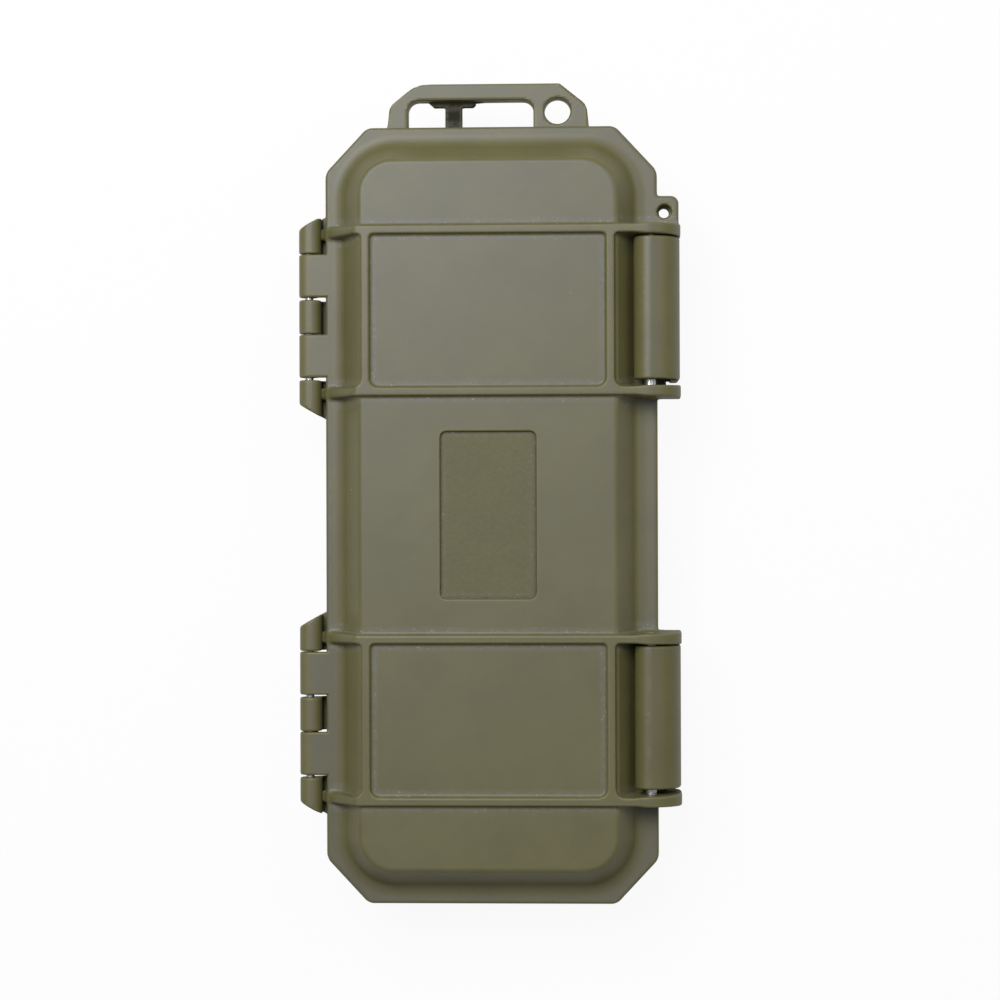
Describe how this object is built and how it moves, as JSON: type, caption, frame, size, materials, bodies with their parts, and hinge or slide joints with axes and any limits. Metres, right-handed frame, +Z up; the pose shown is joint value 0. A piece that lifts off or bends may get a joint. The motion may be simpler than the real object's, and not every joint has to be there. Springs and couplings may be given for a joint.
{
  "type": "waterproof hard case",
  "caption": "Long flat waterproof hard case: ribbed lid on two pinned hinges, two wide snap latches, seal, foam lining and a handle tab with a carabiner hole.",
  "frame": {"origin": "on the resting face, under the middle of the flanges", "axes": "+X to the latch side, +Y to the handle tab, +Z up from the base to the lid"},
  "size_m": [0.1113, 0.2392, 0.0408],
  "materials": {
    "shell": "matte",
    "latch": "matte",
    "seal": "satin",
    "steel": "satin",
    "foam": "matte"
  },
  "bodies": {
    "base": {"base_shell": "shell", "front_hinge_pin": "steel", "rear_hinge_pin": "steel", "base_foam": "foam", "floor_pad": "foam"},
    "lid": {"lid_shell": "shell", "seal_ring": "seal", "front_latch_pin": "steel", "rear_latch_pin": "steel", "lid_foam": "foam"},
    "front_latch": {"front_latch": "latch"},
    "rear_latch": {"rear_latch": "latch"}
  },
  "joints": [
    {"name": "lid_hinge", "type": "hinge", "parent": "base", "child": "lid", "pos_m": [-0.0534, 0, 0.02685], "axis": [0, -1, 0], "range_deg": [0, 180]},
    {"name": "front_latch_swing", "type": "hinge", "parent": "lid", "child": "front_latch", "pos_m": [0.046, 0.05955, 0.03475], "axis": [0, -1, 0], "range_deg": [0, 110]},
    {"name": "rear_latch_swing", "type": "hinge", "parent": "lid", "child": "rear_latch", "pos_m": [0.046, -0.0582, 0.03475], "axis": [0, -1, 0], "range_deg": [0, 110]}
  ]
}
